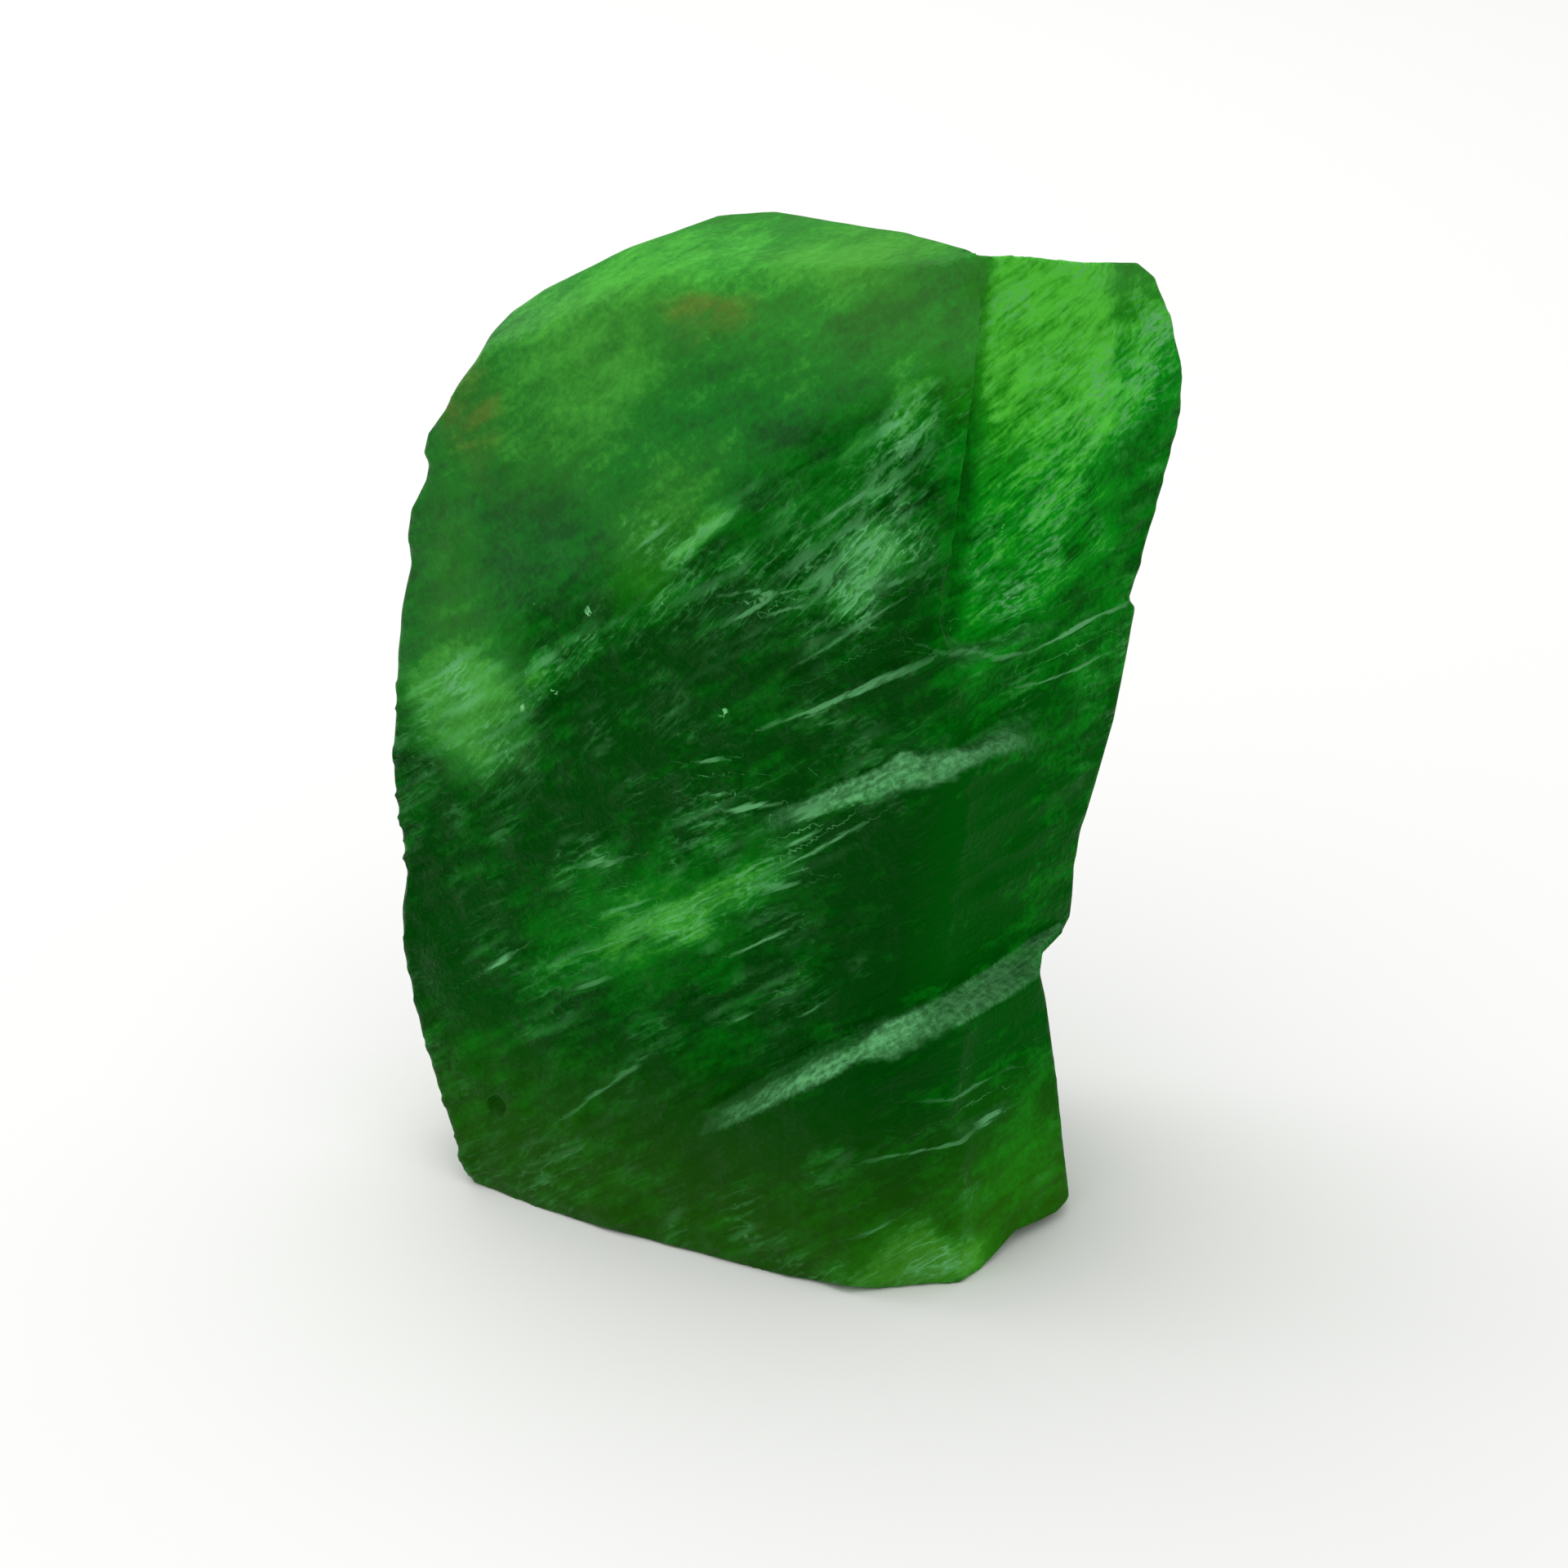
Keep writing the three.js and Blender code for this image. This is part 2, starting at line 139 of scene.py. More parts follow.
# stripes of the front between two levels of the cleavage: lowest and highest level,
# start and end along the ledges in mm, then how much lighter and frostier
STRIPES = {
    # painted shade under the overhang, where the upper block keeps the light off
    "under the overhang": (18.0, 26.4, -8.0, 21.0, -0.05, -0.05),
    "diagonal crest": (26.4, 27.8, 3.0, 20.0, 0.1, 0.2),
    "glow streaks": (13.5, 15.0, -2.0, 14.0, 0.15, 0.4),
    "beside the middle band": (15.5, 18.5, 9.0, 17.0, -0.03, 0.3),
    "under the middle band": (8.5, 14.8, 14.5, 30.0, -0.08, -0.35),
    "over the lower band": (5.8, 8.6, 7.0, 30.0, -0.08, -0.2),
    "under the lower band": (1.5, 4.0, 2.0, 30.0, -0.16, -0.1),
}

# thin ledge edges of the front, raised a little and painted pale as highlights: start, end, half
# width in mm, strength
THREADS = (
    ((-0.9, -6.0, 26.0), (6.5, -9.9, 30.8), 0.09, 0.8),
    ((-2.7, -5.5, 22.0), (-0.3, -6.4, 22.7), 0.12, 0.9),
    ((6.7, -9.6, 31.2), (11.0, -5.1, 29.5), 0.1, 0.5),
    ((11.0, -5.1, 29.5), (15.8, 1.4, 29.6), 0.09, 0.8),
    ((10.4, -5.4, 27.9), (14.9, 0.1, 27.6), 0.08, 0.6),
    ((1.5, -6.8, 36.2), (4.5, -8.1, 38.8), 0.1, 0.8),
    ((5.5, -8.6, 40.0), (6.3, -9.0, 41.6), 0.08, 0.7),
    ((5.8, -9.1, 37.2), (6.4, -9.1, 38.8), 0.08, 0.7),
    ((-2.8, -4.3, 31.9), (1.8, -7.1, 33.5), 0.08, 0.7),
    ((-2.5, -4.8, 30.7), (0.1, -6.3, 33.0), 0.08, 0.7),
    ((-0.8, -5.8, 31.5), (1.3, -6.8, 32.5), 0.07, 0.6),
    ((0.8, -6.8, 29.7), (5.4, -9.0, 33.5), 0.07, 0.6),
    ((-6.8, -2.6, 33.4), (-4.9, -3.4, 35.3), 0.1, 0.7),
    ((-4.2, -4.2, 34.4), (-1.9, -4.8, 36.4), 0.14, 0.7),
    ((0.0, -6.8, 20.7), (1.6, -7.8, 22.0), 0.09, 0.8),
    ((-0.4, -6.5, 19.3), (3.6, -8.9, 22.7), 0.09, 0.8),
    ((-3.6, -4.8, 22.4), (-2.7, -5.4, 22.8), 0.1, 0.8),
    ((-4.0, -4.7, 24.0), (-2.8, -5.2, 24.4), 0.08, 0.7),
    ((3.8, -10.9, 6.7), (9.0, -9.0, 7.4), 0.07, 0.5),
    ((9.0, -9.0, 7.4), (10.3, -7.2, 7.4), 0.1, 0.9),
    ((6.4, -10.3, 9.5), (10.5, -6.4, 9.3), 0.07, 0.4),
    ((-10.5, -2.4, 4.8), (-6.0, -4.4, 9.3), 0.08, 0.5),
    ((-2.4, -5.7, 14.8), (0.3, -7.1, 16.6), 0.08, 0.8),
    ((0.9, -7.0, 12.3), (1.8, -7.4, 13.1), 0.07, 0.6),
    ((-2.4, -5.6, 11.4), (-1.5, -6.0, 12.0), 0.08, 0.6),
    ((-9.3, -2.2, 17.8), (-7.4, -3.2, 18.6), 0.14, 0.7),
    ((-14.1, 0.0, 11.6), (-12.9, -0.6, 12.6), 0.14, 0.9),
    ((-8.3, -2.8, 15.6), (-6.1, -4.0, 16.8), 0.1, 0.6),
    ((-10.0, -1.9, 13.0), (-6.5, -3.6, 15.0), 0.09, 0.6),
    ((-6.5, -3.6, 15.1), (-2.6, -5.5, 18.0), 0.2, 0.3),
    ((-1.5, -6.1, 18.3), (0.9, -7.7, 19.3), 0.12, 0.6),
    ((-9.9, -2.5, 11.5), (-8.2, -3.3, 12.5), 0.08, 0.5),
    ((3.7, -8.1, 33.4), (5.8, -9.3, 34.8), 0.07, 0.5),
    ((0.0, -6.7, 22.0), (2.3, -8.3, 23.3), 0.14, 0.8),
    ((3.4, -11.1, 2.9), (4.9, -10.8, 3.5), 0.1, 0.5),
)

# tiny broken chips, painted as bright highlights, in mm
GLINT_CHIPS = (
    (-12.2, 0.4, 24.8), (-10.6, -0.4, 25.9), (-10.0, -0.9, 31.0), (-2.7, -5.0, 26.5),
    (-8.9, -1.9, 30.3), (0.0, -6.9, 20.9), (7.3, -7.8, 31.6), (-0.9, -8.4, 5.2),
)
# a small pit low on the left, in mm
PIT = (-13.9, -0.5, 4.4)
PIT_DEPTH = 0.5
# how far the thin ledge edges and the right edge stand out, in mm
THREAD_HEIGHT = 0.12
RIGHT_FULLNESS = 0.17
# a thread counts for points within this many mm, and others lie this many half widths off
THREAD_REACH = 1.5
FAR = 20.0
# how far the whole relief stands out, which makes up for what smoothing takes, in mm
RELIEF_LIFT = 0.08
# passes of smoothing: over the solid's own edges, and where the relief folds over
ROUNDING, UNFOLDING = 60, 7
# an edge sharper than this stays crisp
SHARP_ANGLE = math.radians(38)
# what is measured at each point of the surface for the material to read
SHARES = ("tone", "warmth", "tread", "chip_glint", "frosted", "rubbed_and_lit_rise", "steep", "plain", "panel",
          "rust", "dense", "thread", "threaded")
# zones with more yellow in their green
WARM = ("upper left body", "olive patch", "left patch", "left edge", "crown right",
        "corner glow")
# where the upright corner strip runs out above the panel's foot
STRIP_FOOT = (7.0, -9.0, 32.6)


# ------------------------------------------------------------------ small helpers
def linear(hex_colour):
    """Turns an sRGB hex colour into the linear one that shaders take."""
    channels = [int(hex_colour[i:i + 2], 16) / 255 for i in (1, 3, 5)]
    return tuple(c / 12.92 if c <= 0.04045 else ((c + 0.055) / 1.055) ** 2.4
                 for c in channels)


def add(tree, kind, settings=None, inputs=None):
    """Adds one node with its settings; an input is a value or a socket to link."""
    made = tree.nodes.new(kind)
    for name, value in (settings or {}).items():
        setattr(made, name, value)
    for name, value in (inputs or {}).items():
        socket = made.inputs[name]
        if isinstance(value, bpy.types.NodeSocket):
            tree.links.new(value, socket)
        else:
            socket.default_value = value
    return made


def lumps(points, size, seed):
    """Smooth noise between -1 and 1 whose lumps are `size` mm across, per axis."""
    cells = points / np.asarray(size, float)
    base = np.floor(cells).astype(np.int64)
    part = cells - base
    part = part * part * (3 - 2 * part)
    total = np.zeros(len(points))
    for corner in itertools.product((0, 1), repeat=3):
        at = base + corner
        code = at[:, 0] * 73856093 ^ at[:, 1] * 19349663 ^ at[:, 2] * 83492791 ^ seed * 7919
        code = (code ^ (code >> 13)) * 1274126177 & 0xFFFFFFFF
        value = ((code ^ (code >> 16)) & 0xFFFF) / 32767.5 - 1
        weight = np.prod(np.where(corner, part, 1 - part), axis=1)
        total += value * weight
    return total


def ease(value, low, high):
    """0 below `low`, 1 above `high` and a smooth rise between."""
    t = np.clip((value - low) / (high - low), 0, 1)
    return t * t * (3 - 2 * t)


# ------------------------------------------------------------------ settings
class StoneSettings(bpy.types.PropertyGroup):
    grain: bpy.props.FloatProperty(
        name="Grain", description="Spacing of the fine surface's faces",
        default=0.2 * MM, min=0.1 * MM, unit="LENGTH")
    step_height: bpy.props.FloatProperty(
        name="Fine step height", description="Height of the small cleavage steps",
        default=0.3 * MM, unit="LENGTH")
    step_spacing: bpy.props.FloatProperty(
        name="Fine step spacing", description="Distance from one small step to the next",
        default=0.95 * MM, unit="LENGTH")
    ridge_height: bpy.props.FloatProperty(
        name="Ridge height", description="Height of the steep ribs below the crown",
        default=0.5 * MM, unit="LENGTH")
    faces: bpy.props.IntProperty(
        name="Most faces", description="Triangles kept on the finished surface",
        default=190000, min=1000)
    swell: bpy.props.FloatProperty(
        name="Swell", description="Height of the broad unevenness of the broken faces",
        default=0.14 * MM, unit="LENGTH")


class LookSettings(bpy.types.PropertyGroup):
    deep: bpy.props.FloatVectorProperty(
        name="Deep green", description="Green of the clear, thick parts",
        subtype="COLOR", min=0, max=1, default=linear("#005a08"))
    middle: bpy.props.FloatVectorProperty(
        name="Middle green", description="Green of the broken faces",
        subtype="COLOR", min=0, max=1, default=linear("#0a9e18"))
    bright: bpy.props.FloatVectorProperty(
        name="Bright green", description="Green of the thin, glowing parts",
        subtype="COLOR", min=0, max=1, default=linear("#62ee48"))
    olive: bpy.props.FloatVectorProperty(
        name="Olive", description="Warmer green at the foot and the crown",
        subtype="COLOR", min=0, max=1, default=linear("#4a8a14"))
    # Frost colour, also painted on thin edges and upturned facets as highlights
    frost_and_glint: bpy.props.FloatVectorProperty(
        name="Frost", description="Pale green of the frosted ledges",
        subtype="COLOR", min=0, max=1, default=linear("#6ec27c"))
    # painted glint: the nearly white green of single grains and chips that catch the light
    painted_glint: bpy.props.FloatVectorProperty(
        name="Spark", description="Nearly white green of single bright grains",
        subtype="COLOR", min=0, max=1, default=linear("#98f4a0"))
    rust: bpy.props.FloatVectorProperty(
        name="Rust", description="Tint of the iron stains",
        subtype="COLOR", min=0, max=1, default=linear("#8a5a1c"))
    gloss: bpy.props.FloatVectorProperty(
        name="Gloss", description="Tint of the weak reflections",
        subtype="COLOR", min=0, max=1, default=linear("#2a6032"))


class StageSettings(bpy.types.PropertyGroup):
    distance: bpy.props.FloatProperty(
        name="Camera distance", description="From the camera to the middle of the stone",
        default=205 * MM, unit="LENGTH")
    elevation: bpy.props.FloatProperty(
        name="Camera elevation", description="How far the camera looks down",
        default=math.radians(22), unit="ROTATION")
    lens: bpy.props.FloatProperty(
        name="Lens", description="Focal length on a 36 mm wide sensor",
        default=99.9, min=1, unit="CAMERA")
    floor_colour: bpy.props.FloatVectorProperty(
        name="Floor colour", description="Pale floor under the stone",
        subtype="COLOR", min=0, max=1, default=linear("#f4f4f2"))


# ------------------------------------------------------------------ the stone's shape
def smoothed(mesh, share, iterations):
    """The mesh with its vertices evened out as far as their `share`, from 0 to 1."""
    body = bpy.data.objects.new("smoothed", mesh)
    bpy.context.scene.collection.objects.link(body)
    group = body.vertex_groups.new(name="evened out")
    for index in np.flatnonzero(share > 0.02):
        group.add([int(index)], float(share[index]), "REPLACE")
    smooth = body.modifiers.new("evened out", "SMOOTH")
    smooth.vertex_group = group.name
    smooth.iterations = iterations
    evaluated = body.evaluated_get(bpy.context.evaluated_depsgraph_get())
    result = bpy.data.meshes.new_from_object(evaluated)
    bpy.data.objects.remove(body)
    return result


def drawn_points(mesh):
    """The mesh's vertices in drawing mm."""
    points = np.empty(len(mesh.vertices) * 3)
    mesh.vertices.foreach_get("co", points)
    return points.reshape(-1, 3) / MM - np.array(DRAWING_SHIFT)


def folds(mesh):
    """1 at vertices whose faces fold back on each other and 0 where they lie flat."""
    normals = np.empty(len(mesh.polygons) * 3)
    mesh.polygons.foreach_get("normal", normals)
    counts = np.empty(len(mesh.polygons), np.int32)
    mesh.polygons.foreach_get("loop_total", counts)
    corners = np.empty(len(mesh.loops), np.int32)
    mesh.loops.foreach_get("vertex_index", corners)
    spread = np.repeat(normals.reshape(-1, 3), counts, axis=0)
    sums = np.stack([np.bincount(corners, axis, len(mesh.vertices)) for axis in spread.T], 1)
    uses = np.maximum(np.bincount(corners, minlength=len(mesh.vertices)), 1)
    return ease(-np.linalg.norm(sums, axis=1) / uses, -0.75, -0.5)


def fine_copy(source, grain):
    """An evenly faced copy of the solid with its thinnest edges rounded off."""
    rough = bpy.data.objects.new("rough_copy", source.data.copy())
    bpy.context.scene.collection.objects.link(rough)
    remesh = rough.modifiers.new("even faces", "REMESH")
    remesh.mode = "VOXEL"
    remesh.voxel_size = grain
    wrap = rough.modifiers.new("back to the planes", "SHRINKWRAP")
    wrap.target = source
    wrap.wrap_method = "NEAREST_SURFACEPOINT"
    rough.modifiers.new("blunt edges", "SMOOTH").iterations = 1
    evaluated = rough.evaluated_get(bpy.context.evaluated_depsgraph_get())
    mesh = bpy.data.meshes.new_from_object(evaluated)
    bpy.data.objects.remove(rough)
    mesh.materials.clear()
    drawn = drawn_points(mesh)
    x, y, z = drawn.T
    # the crown's edge is rounded off, the upright corner a little, and the strip's foot
    corner = np.hypot(x - 6.4 - 0.02 * (z - 19), y + 10.0 - 0.06 * (z - 19))
    share = np.maximum(zone_share(drawn, "crown edge"),
                       0.3 * ease(-corner, -2.5, -0.6) * ease(-z, -30.5, -28.5))
    strip_foot = np.linalg.norm(drawn - STRIP_FOOT, axis=1)
    share = np.maximum(share, ease(-strip_foot, -2.8, -1.6))
    return smoothed(mesh, share, ROUNDING)


def zone_share(points, name):
    """1 in the middle of a zone and 0 outside it, for points in drawing mm."""
    face, turn, centre, reach = ZONES[name][:4]
    local = (points - centre) @ np.array(along_ledges(face, turn)).T / reach
    return ease(-np.linalg.norm(local, axis=1), -1.2, -0.2)


def stripe_share(points, name):
    """1 inside a stripe of the front and 0 outside it, for points in drawing mm."""
    low, high, start, end = STRIPES[name][:4]
    along, level = points @ np.array(SHEETS[0]), points @ np.array(CLEAVAGE)
    return (ease(level, low - 0.3, low + 0.5) * ease(-level, -high - 0.3, 0.3 - high)
            * ease(along, start - 2, start + 2) * ease(-along, -end - 2, 2 - end)
            * ease(-points[:, 1], -4.0, -1.0))


def panel_share(points):
    """1 on the recessed panel right of the upright corner and 0 elsewhere."""
    x, y, z = points.T
    # its foot rises to the right, and its left rim leans that way too
    foot = 30.6 + 0.1 * (x - 8)
    return (ease(x, 7.2 + 0.08 * (z - 31), 8.3 + 0.08 * (z - 31)) * ease(-x, -15.9, -13.9)
            * ease(z, foot, foot + 1.2) * ease(-y, -1.5, -0.5))


def crests(points, basis, length, spacing, seed):
    """Crisp broken crests, `length` mm long and `spacing` mm apart, from 0 to 1."""
    local = points @ np.array(basis).T
    local[:, 1] += 0.15 * spacing * lumps(points, 3.0 * spacing, seed + 1)
    value = np.abs(lumps(local, (length, spacing, length), seed))
    return 1 - np.minimum(1, 2.2 * value)


def nearest_thread(points):
    """Distance from the nearest thread in its half widths, signed, and its strength."""
    wavy = points + 0.1 * np.stack([lumps(points, 2.0, seed) for seed in (95, 96, 97)], 1)
    nearest, strength = np.full(len(points), FAR), np.zeros(len(points))
    for start, end, half, share in THREADS:
        length = math.dist(start, end)
        along = np.subtract(end, start) / length
        side = np.cross(along, BETWEEN)
        local = wavy - start
        run = local @ along
        off = local @ side / (half * np.linalg.norm(side))
        beyond = np.maximum(0, np.maximum(-run, run - length)) / half
        reach = np.hypot(off, beyond)
        reach[np.linalg.norm(local - run[:, None] * along, axis=1) > THREAD_REACH] = FAR
        closer = reach < abs(nearest)
        nearest[closer] = np.copysign(reach, off)[closer]
        taper = 0.4 + 0.6 * ease(np.minimum(run, length - run) / length, 0.0, 0.3)
        strength[closer] = (share * taper)[closer]
    return nearest, strength


def rib_share(points):
    """1 where steep silky ribs cross the front and 0 elsewhere."""
    return np.maximum(zone_share(points, "ridges"), zone_share(points, "ridge fan"))


def plain_share(points):
    """1 on the crumbly upper body, where hardly a ledge shows, and 0 elsewhere."""
    return ease(points @ np.array(CLEAVAGE), 28.5, 31.5) * (
        1 - rib_share(points)) * (1 - panel_share(points))


def fine_steps(points, settings):
    """Height of the small cleavage steps and the crumbs between them, in mm."""
    sheets = points @ np.array(SHEETS).T
    level = sheets[:, 1] + 0.35 * lumps(points, 7.0, 3) + 0.12 * lumps(points, 1.8, 4)
    phase = level / (settings.step_spacing / MM)
    tooth = phase - np.floor(phase)
    # each step climbs over three quarters of its width and drops over the last one
    step = np.where(tooth < 0.75, tooth / 0.75, (1 - tooth) / 0.25) - 0.5
    # every ledge breaks off and starts again along its run
    run = lumps(np.stack([sheets[:, 0], np.floor(phase) * 9.0, sheets[:, 2]], 1),
                (3.2, 1.0, 3.2), 5)
    height = settings.step_height / MM
    patches = 0.4 + 0.6 * ease(lumps(points, 6.0, 6), -0.3, 0.3)
    ledgy = (1 - 0.9 * plain_share(points)) * patches
    relief = height * step * ease(run, -0.4, 0.4) * ledgy
    relief += 0.4 * height * run * ledgy
    relief += 0.4 * height * crests(points, SHEETS, 2.6, 0.7, 11) * ledgy
    relief += 0.4 * height * lumps(points, (1.1, 1.1, 0.8), 12) * (1 - 0.6 * ledgy)
    return relief


def silky_ribs(points):
    """Height of the steep ribs as a share of the ridge height."""
    total = np.zeros(len(points))
    for share, where, face, turn, length, spacing, seed in (
            (1.0, zone_share(points, "ridges"), MAIN, 13, 3.4, 0.85, 21),
            (0.8, zone_share(points, "ridge fan"), MAIN, 27, 3.0, 0.8, 31),
            (0.4, stripe_share(points, "diagonal crest"), MAIN, 9, 3.0, 0.8, 41),
            (0.7, zone_share(points, "right strip"), RIGHT, 22, 2.6, 0.95, 51),
            (0.4, panel_share(points), RIGHT, 22, 1.5, 0.7, 61)):
        total += share * where * crests(points, along_ledges(face, turn), length, spacing, seed)
    return total


def cleavage_relief(points, normals, settings):
    """Height of the fine steps, ribs, swells and ledge edges at each point, in mm."""
    x, y, z = points.T
    relief = fine_steps(points, settings)
    relief += settings.swell / MM * (lumps(points, 5.5, 7) + 0.3 * lumps(points, 1.2, 8))
    relief += settings.ridge_height / MM * silky_ribs(points)
    # the back and the rounded sides, the upright corner strip and the right edge stay calm
    relief *= 0.2 + 0.8 * ease(normals @ np.array(SHEETS[2]), 0.5, 0.9)
    low_right = ease(0.8 * x - 0.6 * y, 10.0, 11.0) * ease(-z, -30.5, -28)
    relief *= 1 - 0.7 * np.maximum(zone_share(points, "corner strip"), low_right)
    relief -= PIT_DEPTH * ease(-np.linalg.norm(points - PIT, axis=1), -0.7, -0.1)
    relief += RIGHT_FULLNESS * ease(x, 9.5, 13.0) * ease(-z, -31.0, -27.0)
    off, strength = nearest_thread(points)
    relief += THREAD_HEIGHT * strength * ease(-abs(off), -3.0, 0.0)
    return relief


def strayed(points, reach, size, seed):
    """The points moved up to `reach` mm by lumps of `size` mm, which frays a zone's rim."""
    return points + reach * np.stack(
        [lumps(points, size, seed + axis) for axis in range(3)], 1)


def pale_treads(points, ragged, frayed, facing):
    """1 on the treads of the two wide ledges and on the pale oval, 0 elsewhere."""
    x = points[:, 0]
    level = points @ np.array(CLEAVAGE)
    front = ease(-points[:, 1], -3.0, 0.0)
    # the lower ledge: its middle level in mm, then where it starts and fades
    middle_of_low = 4.2 + 0.3 * ease(x, 0.0, 6.0)
    low = ease(-abs(level - middle_of_low + 0.25 * lumps(points, 1.6, 92)), -1.1, -0.75)
    low *= ease(ragged[:, 0], -3.6, -2.2) * (0.6 + 0.4 * ease(x, -1.5, 1.5))
    low *= 1 - 0.45 * ease(ragged[:, 0], 5.5, 7.5) - 0.2 * ease(x, 9.5, 11.5)
    # the middle ledge: its slanting level and its half width in mm
    slanted = level - 16.15 + 0.17 * x
    slim = 1.05 - 0.65 * ease(x, 5.0, 9.5) - 0.4 * lumps(points, 0.9, 93)
    middle = ease(-abs(slanted), -slim, 0.4 - slim) * ease(x, -0.2, 2.0)
    middle *= 1 - 0.5 * ease(x, 8.0, 10.0)
    # the ledges are frosted, and painted lighter where they face up along the cleavage, as light
    # from above
    tread = ease(facing, 0.2, 0.6) * (0.12 + 0.86 * front * np.maximum(low, 0.93 * middle))
    # a thin line goes on where the middle ledge turns too steep to be a tread
    line = ease(-abs(slanted + 0.3 * lumps(points, 1.4, 91)), -0.5, -0.2)
    line *= ease(x, -2.0, 2.0) * ease(-x, -12.0, -9.0) * front
    return np.max([tread, 0.75 * line, 0.7 * zone_share(frayed, "ridge oval")], axis=0)


def tone_and_frost(points, ragged, frayed, panel, right):
    """How light and how frosted each point is, from the zones and stripes."""
    height = points[:, 2]
    # the stone is painted lighter towards its top, as light from above and through the thinner top
    tone = 0.08 + 0.25 * ease(height, 30.0, 42.0) + 0.05 * lumps(points, 4.0, 77)
    # the panel is painted lighter towards its top, as glow where light comes through it
    tone += panel * (0.32 + 0.34 * ease(height, 35.0, 44.0) - 0.12 * ease(height, 30.0, 42.0)
                     + 0.06 * ease(height, 44.0, 47.0))
    frosted = 0.15 * ease(height, 15.0, 30.0) - 0.3 * right + 0.5 * panel
    frosted += 0.5 * lumps(points, 1.7, 78) + 0.15 * lumps(points, 5.0, 79)
    for table, share_of, rim in ((ZONES, zone_share, ragged), (STRIPES, stripe_share, frayed)):
        for name, row in table.items():
            lighter, frostier = row[4:]
            share = share_of(rim, name)
            tone += lighter * share
            frosted += frostier * share
    tone -= 0.6 * ease(-np.linalg.norm(points - PIT, axis=1), -0.6, -0.2)
    return tone, frosted


def surface_shares(points, smooth_normals, normals):
    """All of SHARES at each point; `smooth_normals` are from before the fine relief."""
    ragged = strayed(points, 1.0, 2.8, 71) + strayed(points, 0.5, 1.1, 74) - points
    frayed = strayed(points, 0.3, 1.5, 81)
    height = points[:, 2]
    level = points @ np.array(CLEAVAGE)
    panel = panel_share(frayed)
    plain = plain_share(ragged)
    right = ease(smooth_normals @ np.array((0.8, -0.6, 0.0)), 0.2, 0.8)
    tone, frosted = tone_and_frost(points, ragged, frayed, panel, right)
    yellow = np.max([zone_share(ragged, name) for name in WARM], axis=0)
    warmth = ease(-height, -11.0, -1.0) + ease(height, 40.0, 46.0) + 0.9 * yellow
    warmth = warmth * (1 - panel) + 0.8 * panel * ease(height, 36.0, 44.0)
    # how far each point faces up along the cleavage, for the painted light on the treads
    facing = smooth_normals @ np.array(CLEAVAGE) + 0.5 * right
    # facets tilted up along the cleavage are painted lighter, as light from above
    rise = ease((normals - smooth_normals) @ np.array(CLEAVAGE), 0.06, 0.35)
    rubbed = np.maximum(0.15 * plain, 0.25 * zone_share(ragged, "left patch"))
    chips = np.min([np.linalg.norm(points - chip_glint, axis=1) for chip_glint in GLINT_CHIPS], axis=0)
    thread, threaded = nearest_thread(points)
    along_right = points @ np.array(along_ledges(RIGHT)[0])
    return {
        "tone": tone,
        "warmth": warmth,
        "frosted": np.clip(frosted - 0.15 * plain, -0.5, 1.5),
        # rubbed frost, and painted light on upturned facets
        "rubbed_and_lit_rise": np.clip(0.7 * rise * frosted * (1 - 0.8 * plain) + rubbed, 0, 1),
        "tread": pale_treads(points, ragged, frayed, facing),
        "chip_glint": ease(-chips, -0.4, -0.1),
        "thread": thread,
        "threaded": threaded,
        "steep": ease(level, 19.0, 25.0) * ease(-points[:, 1], -3.0, 0.0),
        "plain": plain,
        "panel": np.maximum(panel, zone_share(ragged, "right strip")),
        "rust": np.maximum(zone_share(ragged, "rust"), zone_share(ragged, "rust edge")),
        "dense": np.maximum(right * ease(along_right, -4.8, -1.5), ease(height, 42.0, 46.0)),
    }


def vertex_normals(mesh):
    """The mesh's vertex normals, one row each."""
    normals = np.empty(len(mesh.vertices) * 3)
    mesh.vertices.foreach_get("normal", normals)
    return normals.reshape(-1, 3)


def raise_relief(mesh, drawn, settings):
    """Moves the vertices out by the fine relief, inside the solid's box and above its foot."""
    normals = vertex_normals(mesh)
    height = cleavage_relief(drawn, normals, settings)
    height += RELIEF_LIFT - np.median(height)
    height *= ease(drawn[:, 2], 0.05, 0.8)
    moved = (drawn + np.array(DRAWING_SHIFT) + normals * height[:, None]) * MM
    moved[:, 2] = np.maximum(moved[:, 2], 0)
    mesh.vertices.foreach_set("co", np.clip(moved, *np.array(CAD_BOX)).ravel())
    mesh.update()


def thinned(stone, context, faces):
    """The stone's mesh with no more than about `faces` triangles, fewer on its flats."""
    thin = stone.modifiers.new("fewer faces on the flats", "DECIMATE")
    thin.ratio = min(1.0, faces / (2 * len(stone.data.polygons)))
    evaluated = stone.evaluated_get(context.evaluated_depsgraph_get())
    mesh = bpy.data.meshes.new_from_object(evaluated)
    stone.modifiers.clear()
    return mesh


